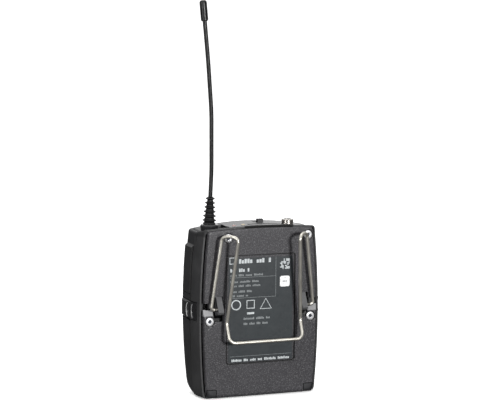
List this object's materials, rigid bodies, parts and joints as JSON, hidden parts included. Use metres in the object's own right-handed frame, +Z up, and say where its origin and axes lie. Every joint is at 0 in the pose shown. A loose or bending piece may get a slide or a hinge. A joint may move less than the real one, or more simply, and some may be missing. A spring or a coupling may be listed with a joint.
{
  "type": "wireless bodypack transmitter",
  "caption": "Flat black belt-worn radio transmitter with a flexible whip antenna, wire belt clip, jack socket, side catches and a hinged battery cover.",
  "frame": {"origin": "centre of the flat base, under the middle of the housing's depth", "axes": "+Z up along the antenna, +X towards the antenna side, +Y out of the back with the rating label and the belt clip"},
  "size_m": [0.0666, 0.0355, 0.1879],
  "materials": {
    "housing_plastic": "fine matt black plastic",
    "cover_paint": "textured dark grey paint",
    "steel": "plain bright steel",
    "dark_window": "glossy smoked plastic",
    "gasket_rubber": "soft black foam rubber",
    "lcd_amber": "amber backlit display",
    "key_panel_plastic": "matt black plastic",
    "key_red": "soft red key",
    "key_grey": "soft grey key",
    "circuit_board": "green solder mask",
    "contact_brass": "plated spring brass",
    "cell_sleeve": "printed sleeve on a steel can",
    "control_black": "black plastic, slightly shiny",
    "nickel": "turned nickel plate",
    "led_red": "clear red lens",
    "led_yellow": "clear yellow lens",
    "antenna_plastic": "shiny black plastic",
    "antenna_rubber": "smooth black rubber",
    "contact_dark": "dark grey plated contact",
    "screw_steel": "bright zinc plate",
    "label_film": "dark slate printed film",
    "clip_wire": "warm nickel-plated spring wire"
  },
  "bodies": {
    "housing": {"chassis": "housing_plastic", "rear_cover": "cover_paint", "front_bezel": "housing_plastic", "hinge_pins": "steel", "display_window": "dark_window", "display_gasket": "gasket_rubber", "lcd_module": "lcd_amber", "key_panel": "key_panel_plastic", "key_board": "circuit_board", "tact_switches": "steel", "main_board": "circuit_board", "rf_shield": "steel", "battery_contacts": "contact_brass", "battery_springs": "contact_brass", "aa_cell_left": "cell_sleeve", "aa_cell_right": "cell_sleeve", "catch_springs": "steel", "mute_switch_body": "control_black", "jack_barrel": "nickel", "jack_body": "control_black", "status_led": "led_red", "level_led": "led_yellow", "ir_window": "dark_window", "antenna_base": "antenna_plastic", "antenna_boot": "antenna_rubber", "antenna_whip": "antenna_rubber", "antenna_tip": "antenna_rubber", "charge_contact_left": "contact_dark", "charge_contact_right": "contact_dark", "rear_screws": "screw_steel", "rating_label": "label_film"},
    "cover": {"battery_cover": "housing_plastic"},
    "left_catch": {"catch_left": "control_black"},
    "right_catch": {"catch_right": "control_black"},
    "mute": {"mute_knob": "control_black"},
    "power": {"power_key": "key_red"},
    "set": {"set_key": "key_grey"},
    "rocker": {"menu_rocker": "key_grey"},
    "clip": {"belt_clip": "clip_wire", "clip_pivots": "clip_wire"}
  },
  "joints": [
    {"name": "cover_hinge", "type": "hinge", "parent": "housing", "child": "cover", "pos_m": [0, -0.006, 0.0055], "axis": [1, 0, 0], "range_deg": [0, 82]},
    {"name": "left_catch_press", "type": "slide", "parent": "housing", "child": "left_catch", "axis": [-1, 0, 0], "range_m": [0, 0.0012], "stiffness_N_per_m": 400},
    {"name": "right_catch_press", "type": "slide", "parent": "housing", "child": "right_catch", "axis": [1, 0, 0], "range_m": [0, 0.0012], "stiffness_N_per_m": 400},
    {"name": "mute_slide", "type": "slide", "parent": "housing", "child": "mute", "axis": [1, 0, 0], "range_m": [0, 0.002]},
    {"name": "power_press", "type": "slide", "parent": "housing", "child": "power", "axis": [0, 1, 0], "range_m": [0, 0.0004], "stiffness_N_per_m": 400},
    {"name": "set_press", "type": "slide", "parent": "housing", "child": "set", "axis": [0, 1, 0], "range_m": [0, 0.0004], "stiffness_N_per_m": 400},
    {"name": "rocker_tilt", "type": "hinge", "parent": "housing", "child": "rocker", "pos_m": [0.0158, -0.00585, 0.035], "axis": [1, 0, 0], "range_deg": [-2.5, 2.5], "stiffness_Nm_per_rad": 0.02},
    {"name": "clip_pivot", "type": "hinge", "parent": "housing", "child": "clip", "pos_m": [0, 0.0141, 0.0435], "axis": [-1, 0, 0], "range_deg": [-4, 22]}
  ]
}
